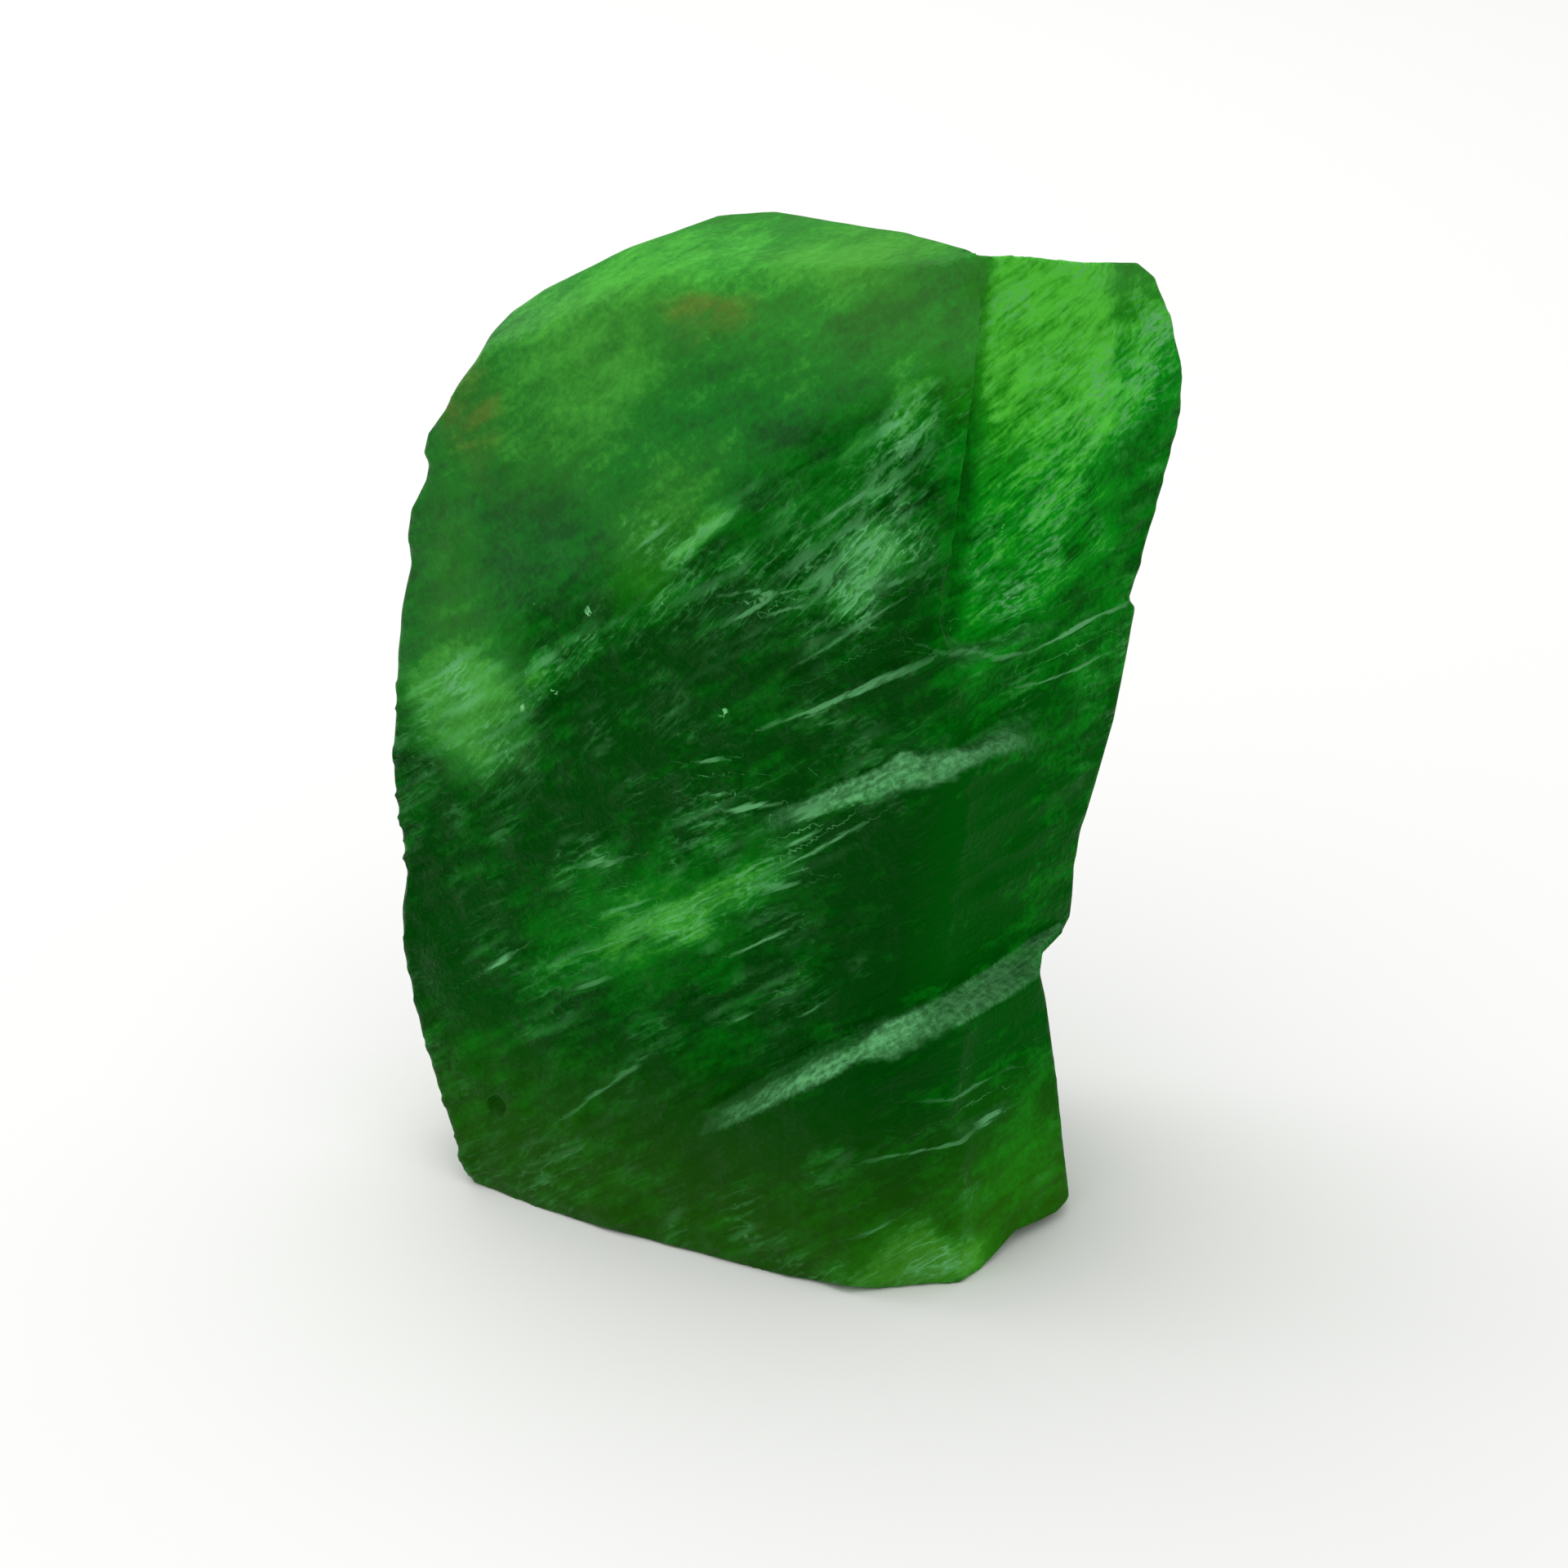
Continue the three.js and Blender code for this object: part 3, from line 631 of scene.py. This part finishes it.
class FLUORITE_OT_stone(bpy.types.Operator):
    """Make the stone's finely stepped surface and its material"""
    bl_idname = "fluorite.stone"
    bl_label = "Cleaved stone"

    def execute(self, context):
        settings = context.scene.fluorite_stone
        mesh = fine_copy(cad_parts[NODE], settings.grain)
        drawn = drawn_points(mesh)
        smooth_normals = vertex_normals(mesh)
        raise_relief(mesh, drawn, settings)
        mesh = smoothed(mesh, folds(mesh), UNFOLDING)
        shares = surface_shares(drawn, smooth_normals, vertex_normals(mesh))
        for name in SHARES:
            share = mesh.attributes.new(name, "FLOAT", "POINT")
            share.data.foreach_set("value", shares[name])
        stone = bpy.data.objects.new(PIECE, mesh)
        context.scene.collection.objects.link(stone)
        stone.data = thinned(stone, context, settings.faces)
        stone.vertex_groups.clear()
        stone.data.shade_smooth()
        stone.data.set_sharp_from_angle(angle=SHARP_ANGLE)
        stone.data.materials.append(fluorite_material(context.scene.fluorite_look))
        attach(stone, "root")
        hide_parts(NODE)
        return {"FINISHED"}


# ------------------------------------------------------------------ the stone's material
# Noise drawn out along the ledges: length and thickness in mm. Its lines lie about twice
# as far apart as it is thick. Striations are taken to be 0.3 to 0.5 mm apart, and the
# silk's are drawn at the coarse end of that, so that they show.
LEVEL_SILK, STEEP_SILK, PANEL_SILK = (2.6, 0.24), (2.3, 0.22), (1.6, 0.25)
# broken edges, 1 mm apart like the small steps, and the clouds inside the stone
LEVEL_EDGE, STEEP_EDGE, CLOUD = (2.6, 0.55), (2.4, 0.5), (2.6, 0.85)
# Crumbs per mm. Real ones are taken to be near 0.1 mm, too fine to show, so they are
# drawn at 0.35 mm.
CRUMBS = 2.8


def streaks(tree, place, basis, size, detail):
    """Noise drawn out along a face's ledges; `size` is its length and thickness in mm."""
    length, thickness = size
    laid = add(tree, "ShaderNodeMapping", {"vector_type": "TEXTURE"}, {
        "Vector": place, "Rotation": Matrix(basis).transposed().to_euler(),
        "Scale": (length, thickness, length)})
    return add(tree, "ShaderNodeTexNoise", None, {
        "Vector": laid.outputs[0], "Scale": 1.0, "Detail": detail,
        "Roughness": 0.6}).outputs["Fac"]


def silk_pattern(tree, share, place):
    """Silky streaks along the ledges, steeper below the crown and on the panel."""
    level = streaks(tree, place, SHEETS, LEVEL_SILK, 2.5)
    steep = streaks(tree, place, along_ledges(MAIN, STEEP_TURN), STEEP_SILK, 2.5)
    panel = streaks(tree, place, along_ledges(RIGHT, PANEL_TURN), PANEL_SILK, 3.0)
    silk = add(tree, "ShaderNodeMix", {"data_type": "FLOAT"}, {
        0: share["steep"], 2: level, 3: steep}).outputs[0]
    return add(tree, "ShaderNodeMix", {"data_type": "FLOAT"}, {
        0: share["panel"], 2: silk, 3: panel}).outputs[0]


def edge_pattern(tree, share, place):
    """Thin broken edges, 1 on a line and 0 between, where the noise crosses its middle."""
    level = streaks(tree, place, SHEETS, LEVEL_EDGE, 2.0)
    steep = streaks(tree, place, along_ledges(MAIN, STEEP_TURN), STEEP_EDGE, 2.0)
    edge = add(tree, "ShaderNodeMix", {"data_type": "FLOAT"}, {
        0: share["steep"], 2: level, 3: steep}).outputs[0]
    edge = add(tree, "ShaderNodeMath", {"operation": "SUBTRACT"}, {0: edge, 1: 0.5}).outputs[0]
    edge = add(tree, "ShaderNodeMath", {"operation": "ABSOLUTE"}, {0: edge}).outputs[0]
    return add(tree, "ShaderNodeMapRange", None, {
        "Value": edge, "From Min": 0.01, "From Max": 0.05,
        "To Min": 1.0, "To Max": 0.0}).outputs[0]


def inner_green(tree, look, share, silk, silky, cloud, grain):
    """Green from deep to bright, warmer at the foot and the crown, with the rust on it."""
    sheen = add(tree, "ShaderNodeMath", {"operation": "SUBTRACT"}, {0: silk, 1: 0.5}).outputs[0]
    sheen = add(tree, "ShaderNodeMath", {"operation": "MULTIPLY"},
                {0: sheen, 1: silky}).outputs[0]
    lift = add(tree, "ShaderNodeMath", {"operation": "MULTIPLY_ADD"},
               {0: sheen, 1: 1.2, 2: -0.8}).outputs[0]
    lift = add(tree, "ShaderNodeMath", {"operation": "MULTIPLY_ADD"},
               {0: cloud, 1: 1.15, 2: lift}).outputs[0]
    lift = add(tree, "ShaderNodeMath", {"operation": "MULTIPLY_ADD"},
               {0: grain, 1: 0.45, 2: lift}).outputs[0]
    tone = add(tree, "ShaderNodeMath", {"operation": "ADD"},
               {0: share["tone"], 1: lift}).outputs[0]
    ramp = add(tree, "ShaderNodeValToRGB", None, {"Fac": tone})
    stops = ramp.color_ramp.elements
    stops[0].position, stops[0].color = 0.0, (*look.deep, 1)
    stops[1].position, stops[1].color = 1.0, (*look.bright, 1)
    stops.new(0.5).color = (*look.middle, 1)
    warm = add(tree, "ShaderNodeMath", {"operation": "MULTIPLY"},
               {0: share["warmth"], 1: 0.35}).outputs[0]
    green = add(tree, "ShaderNodeMix", {"data_type": "RGBA"}, {
        0: warm, 6: ramp.outputs[0], 7: (*look.olive, 1)}).outputs[2]
    stain = add(tree, "ShaderNodeMapRange", None, {
        "Value": cloud, "From Min": 0.42, "From Max": 0.65,
        "To Min": 0.1, "To Max": 0.6}).outputs[0]
    stain = add(tree, "ShaderNodeMath", {"operation": "MULTIPLY"},
                {0: share["rust"], 1: stain}).outputs[0]
    return add(tree, "ShaderNodeMix", {"data_type": "RGBA"}, {
        0: stain, 6: green, 7: (*look.rust, 1)}).outputs[2]


def pale_streaks(tree, share, haze, silk, edge, cloud, grain):
    """Frost in drifts with painted glints: pale streaks and thin edges, and painted light where
    facets turn up along the cleavage.
    """
    glint = add(tree, "ShaderNodeMix", {"data_type": "FLOAT"}, {
        0: 0.35, 2: silk, 3: grain}).outputs[0]
    pale = add(tree, "ShaderNodeMath", {"operation": "MULTIPLY_ADD"},
               {0: haze, 1: 0.1, 2: glint}).outputs[0]
    pale = add(tree, "ShaderNodeMath", {"operation": "MULTIPLY_ADD"},
               {0: cloud, 1: 0.3, 2: pale}).outputs[0]
    crisp = add(tree, "ShaderNodeMath", {"operation": "MULTIPLY_ADD"},
                {0: share["plain"], 1: -0.6, 2: 1.0}).outputs[0]
    edge = add(tree, "ShaderNodeMath", {"operation": "MULTIPLY"}, {0: edge, 1: crisp}).outputs[0]
    drift = add(tree, "ShaderNodeMapRange", None, {
        "Value": pale, "From Min": 0.58, "From Max": 0.8}).outputs[0]
    edge = add(tree, "ShaderNodeMath", {"operation": "MULTIPLY"}, {0: edge, 1: drift}).outputs[0]
    pale = add(tree, "ShaderNodeMapRange", None, {
        "Value": pale, "From Min": 0.71, "From Max": 0.95, "To Max": 0.7}).outputs[0]
    pale = add(tree, "ShaderNodeMath", {"operation": "MAXIMUM"}, {0: pale, 1: edge}).outputs[0]
    pale = add(tree, "ShaderNodeMath", {"operation": "MULTIPLY"}, {0: pale, 1: haze}).outputs[0]
    # painted light on upturned facets, and rubbed frost
    return add(tree, "ShaderNodeMath", {"operation": "MAXIMUM"},
               {0: pale, 1: share["rubbed_and_lit_rise"]}).outputs[0]


def crumbled_treads(tree, share, silk, grain):
    """Frost and painted light of the two wide ledges, broken up by crumbs and silk."""
    crumb = add(tree, "ShaderNodeMath", {"operation": "MULTIPLY_ADD"},
                {0: silk, 1: 0.5, 2: grain}).outputs[0]
    crumb = add(tree, "ShaderNodeMapRange", None, {
        "Value": crumb, "From Min": 0.62, "From Max": 0.9,
        "To Min": 0.5, "To Max": 1.1}).outputs[0]
    return add(tree, "ShaderNodeMath", {"operation": "MULTIPLY"},
               {0: share["tread"], 1: crumb}).outputs[0]


def frayed_thread_glints(tree, share, silk):
    """Painted highlight along the thin ledge edges, frayed by the silk."""
    off = add(tree, "ShaderNodeMath", {"operation": "ABSOLUTE"},
              {0: share["thread"]}).outputs[0]
    off = add(tree, "ShaderNodeMath", {"operation": "MULTIPLY_ADD"},
              {0: silk, 1: 6.0, 2: off}).outputs[0]
    inside = add(tree, "ShaderNodeMapRange", None, {
        "Value": off, "From Min": 3.3, "From Max": 4.4,
        "To Min": 1.0, "To Max": 0.0}).outputs[0]
    return add(tree, "ShaderNodeMath", {"operation": "MULTIPLY"},
               {0: inside, 1: share["threaded"]}).outputs[0]


def painted_glints(tree, share, haze, grain):
    """Painted glints on single grains and broken chips, where they would catch the light."""
    painted_glint = add(tree, "ShaderNodeMapRange", None, {
        "Value": grain, "From Min": 0.7, "From Max": 0.76}).outputs[0]
    painted_glint = add(tree, "ShaderNodeMath", {"operation": "MULTIPLY"}, {0: painted_glint, 1: haze}).outputs[0]
    chip_glint = add(tree, "ShaderNodeMath", {"operation": "MULTIPLY_ADD"},
               {0: share["chip_glint"], 1: 0.25, 2: grain}).outputs[0]
    chip_glint = add(tree, "ShaderNodeMapRange", None, {
        "Value": chip_glint, "From Min": 0.7, "From Max": 0.76}).outputs[0]
    chip_glint = add(tree, "ShaderNodeMath", {"operation": "MULTIPLY"},
               {0: share["chip_glint"], 1: chip_glint}).outputs[0]
    return add(tree, "ShaderNodeMath", {"operation": "MAXIMUM"},
               {0: painted_glint, 1: chip_glint}).outputs[0]


def fluorite_material(look):
    """Green fluorite, split along its cleavage and left unpolished."""
    # It gives the eye a deep, half clear green that light gets into at thin edges, with painted
    # glow in places and painted light on the top, a weak gloss, pale, matt silk and frosting
    # wherever the cleavage frays, and painted glints on thin edges and single grains.
    material = bpy.data.materials.new("green fluorite, cleaved and unpolished")
    material.use_nodes = True
    tree = material.node_tree
    tree.nodes.clear()
    place = add(tree, "ShaderNodeTexCoord").outputs["Object"]
    drawn = add(tree, "ShaderNodeVectorMath", {"operation": "MULTIPLY_ADD"}, {
        0: place, 1: (1 / MM,) * 3, 2: -DRAWING_SHIFT}).outputs[0]
    share = {name: add(tree, "ShaderNodeAttribute", {"attribute_name": name}).outputs["Fac"]
             for name in SHARES}
    bend = add(tree, "ShaderNodeTexNoise", None,
               {"Vector": drawn, "Scale": 0.4, "Detail": 2.0}).outputs["Color"]
    bent = add(tree, "ShaderNodeVectorMath", {"operation": "MULTIPLY_ADD"},
               {0: bend, 1: (0.5,) * 3, 2: drawn}).outputs[0]
    silk = silk_pattern(tree, share, bent)
    edge = edge_pattern(tree, share, bent)
    cloud = streaks(tree, bent, SHEETS, CLOUD, 5.0)
    grain = add(tree, "ShaderNodeTexNoise", None, {
        "Vector": drawn, "Scale": CRUMBS, "Detail": 3.0, "Roughness": 0.6}).outputs["Fac"]

    haze = add(tree, "ShaderNodeMapRange", {"clamp": False}, {
        "Value": share["frosted"], "From Min": -0.1, "From Max": 1.0}).outputs[0]
    haze = add(tree, "ShaderNodeMath", {"operation": "MAXIMUM"}, {0: haze, 1: 0.0}).outputs[0]
    # the plain upper body shows crumbs in place of half the silk
    half_plain = add(tree, "ShaderNodeMath", {"operation": "MULTIPLY"},
                     {0: share["plain"], 1: 0.5}).outputs[0]
    silk = add(tree, "ShaderNodeMix", {"data_type": "FLOAT"}, {
        0: half_plain, 2: silk, 3: grain}).outputs[0]
    silky = add(tree, "ShaderNodeMath", {"operation": "MAXIMUM"},
                {0: haze, 1: share["panel"]}).outputs[0]
    silky = add(tree, "ShaderNodeMath", {"operation": "MAXIMUM"},
                {0: silky, 1: half_plain}).outputs[0]
    colour = inner_green(tree, look, share, silk, silky, cloud, grain)

    # Frost, with painted glints on grains and thin edges and painted light on upturned treads and
    # facets
    frost_and_glint = pale_streaks(tree, share, haze, silk, edge, cloud, grain)
    for more in (crumbled_treads(tree, share, silk, grain), frayed_thread_glints(tree, share, silk)):
        frost_and_glint = add(tree, "ShaderNodeMath", {"operation": "MAXIMUM"},
                    {0: frost_and_glint, 1: more}).outputs[0]
    # painted glints on single grains and chips
    painted_glint = painted_glints(tree, share, haze, grain)
    for amount, tint in ((frost_and_glint, look.frost_and_glint), (painted_glint, look.painted_glint)):
        colour = add(tree, "ShaderNodeMix", {"data_type": "RGBA"}, {
            0: amount, 6: colour, 7: (*tint, 1)}).outputs[2]
    frost_and_glint = add(tree, "ShaderNodeMath", {"operation": "MAXIMUM"},
                {0: frost_and_glint, 1: painted_glint}).outputs[0]

    # the right face and the crown count as dense: darker, and hardly any light gets in
    shade = add(tree, "ShaderNodeMapRange", None, {
        "Value": share["dense"], "To Min": 1.0, "To Max": 0.8}).outputs[0]
    colour = add(tree, "ShaderNodeMix", {"data_type": "RGBA", "blend_type": "MULTIPLY"}, {
        0: 1.0, 6: colour, 7: shade}).outputs[2]
    clear = add(tree, "ShaderNodeMapRange", None, {
        "Value": frost_and_glint, "To Min": 0.55, "To Max": 0.2}).outputs[0]
    dense = add(tree, "ShaderNodeMapRange", None, {
        "Value": share["dense"], "To Min": 1.0, "To Max": 0.03}).outputs[0]
    clear = add(tree, "ShaderNodeMath", {"operation": "MULTIPLY"}, {0: clear, 1: dense}).outputs[0]
    rough = add(tree, "ShaderNodeMapRange", None, {
        "Value": frost_and_glint, "To Min": 0.3, "To Max": 0.6}).outputs[0]
    relief = add(tree, "ShaderNodeMath", {"operation": "MULTIPLY_ADD"},
                 {0: grain, 1: 0.8, 2: silk}).outputs[0]
    bump = add(tree, "ShaderNodeBump", None,
               {"Height": relief, "Strength": 0.6, "Distance": 0.25 * MM})
    # The IOR is fluorite's own. The specular level is matched to a surface that
    # hardly glints, and lies far under the 0.5 of a clean face.
    surface = add(tree, "ShaderNodeBsdfPrincipled", None, {
        "Base Color": colour,
        "Roughness": rough,
        "IOR": 1.434,
        "Transmission Weight": clear,
        "Specular IOR Level": 0.005,
        "Specular Tint": (*look.gloss, 1),
        "Normal": bump.outputs[0],
    })
    # 5 mm of stone leave half of the green and less than a tenth of the red and the blue
    body = add(tree, "ShaderNodeVolumeAbsorption", None,
               {"Color": (0.0, 0.75, 0.1, 1.0), "Density": 550.0})
    add(tree, "ShaderNodeOutputMaterial", None,
        {"Surface": surface.outputs[0], "Volume": body.outputs[0]})
    return material


# ------------------------------------------------------------------ the stage
# half the floor's side in mm, and how bright the white room around it is
FLOOR_HALF = 1500
ROOM_LIGHT = 0.71
# soft lights: name, place and target in mm, side in mm, power in watts
LIGHTS = (
    ("window", (-150, 190, 440), (0, 60, 0), 520, 1.22),
    ("front fill", (-60, -300, 380), (0, 0, 0), 450, 0.38),
)
# the camera's sensor and the point it looks at, in mm
SENSOR_WIDTH = 36
CAMERA_TARGET = (0, 0, 21)


def area_light(name, place, target, size, power):
    """A square soft white light at `place` that looks at `target`."""
    data = bpy.data.lights.new(name, "AREA")
    data.shape = "SQUARE"
    data.size = size * MM
    data.energy = power
    lamp = bpy.data.objects.new(name, data)
    bpy.context.scene.collection.objects.link(lamp)
    lamp.location = Vector(place) * MM
    aim = (Vector(target) - Vector(place)).to_track_quat("-Z", "Y")
    lamp.rotation_euler = aim.to_euler()


def white_paper(colour):
    """Matt white paper, uncoated."""
    # It gives the eye a pale, even floor with no gloss, only the stone's soft shadow.
    paper = bpy.data.materials.new("matt white paper, uncoated")
    paper.use_nodes = True
    tree = paper.node_tree
    tree.nodes.clear()
    sheet = add(tree, "ShaderNodeBsdfPrincipled", None, {
        "Base Color": (*colour, 1), "Roughness": 0.9, "Specular IOR Level": 0.1})
    add(tree, "ShaderNodeOutputMaterial", None, {"Surface": sheet.outputs[0]})
    return paper


class FLUORITE_OT_stage(bpy.types.Operator):
    """Make the pale floor, the soft light and the camera"""
    bl_idname = "fluorite.stage"
    bl_label = "Stage"

    def execute(self, context):
        settings = context.scene.fluorite_stage
        scene = context.scene
        half = FLOOR_HALF * MM
        mesh = bpy.data.meshes.new("floor")
        mesh.from_pydata([(-half, -half, 0), (half, -half, 0), (half, half, 0), (-half, half, 0)],
                         [], [(0, 1, 2, 3)])
        mesh.materials.append(white_paper(settings.floor_colour))
        floor = bpy.data.objects.new("floor", mesh)
        scene.collection.objects.link(floor)

        world = bpy.data.worlds.new("plain white room")
        world.use_nodes = True
        room = world.node_tree.nodes["Background"]
        room.inputs["Color"].default_value = (1, 1, 1, 1)
        room.inputs["Strength"].default_value = ROOM_LIGHT
        scene.world = world
        for name, place, target, size, power in LIGHTS:
            area_light(name, place, target, size, power)
        scene.view_settings.view_transform = "Standard"

        camera = bpy.data.objects.new("camera", bpy.data.cameras.new("camera"))
        scene.collection.objects.link(camera)
        camera.data.lens = settings.lens
        camera.data.sensor_width = SENSOR_WIDTH
        camera.data.clip_start = 10 * MM
        look = Vector((0, math.cos(settings.elevation), -math.sin(settings.elevation)))
        camera.location = (Vector(CAMERA_TARGET) + DRAWING_SHIFT) * MM - look * settings.distance
        camera.rotation_euler = look.to_track_quat("-Z", "Y").to_euler()
        scene.camera = camera
        return {"FINISHED"}


class FLUORITE_PT_panel(bpy.types.Panel):
    """Steps that dress the fluorite solid"""
    bl_idname = "FLUORITE_PT_panel"
    bl_label = "Rough green fluorite"
    bl_space_type = "VIEW_3D"
    bl_region_type = "UI"
    bl_category = "Fluorite"

    def draw(self, context):
        layout = self.layout
        scene = context.scene
        steps = (
            ("fluorite.stone", (scene.fluorite_stone, scene.fluorite_look)),
            ("fluorite.stage", (scene.fluorite_stage,)),
        )
        for operator, groups in steps:
            box = layout.box()
            for settings in groups:
                for name in settings.__annotations__:
                    box.prop(settings, name)
            box.operator(operator)


CLASSES = (
    StoneSettings, LookSettings, StageSettings,
    FLUORITE_OT_stone, FLUORITE_OT_stage, FLUORITE_PT_panel,
)


def register():
    for item in CLASSES:
        bpy.utils.register_class(item)
    bpy.types.Scene.fluorite_stone = bpy.props.PointerProperty(type=StoneSettings)
    bpy.types.Scene.fluorite_look = bpy.props.PointerProperty(type=LookSettings)
    bpy.types.Scene.fluorite_stage = bpy.props.PointerProperty(type=StageSettings)


def unregister():
    del bpy.types.Scene.fluorite_stage
    del bpy.types.Scene.fluorite_look
    del bpy.types.Scene.fluorite_stone
    for item in reversed(CLASSES):
        bpy.utils.unregister_class(item)


def main():
    register()
    bpy.ops.fluorite.stage()
    bpy.ops.fluorite.stone()


if __name__ == "__main__":
    main()
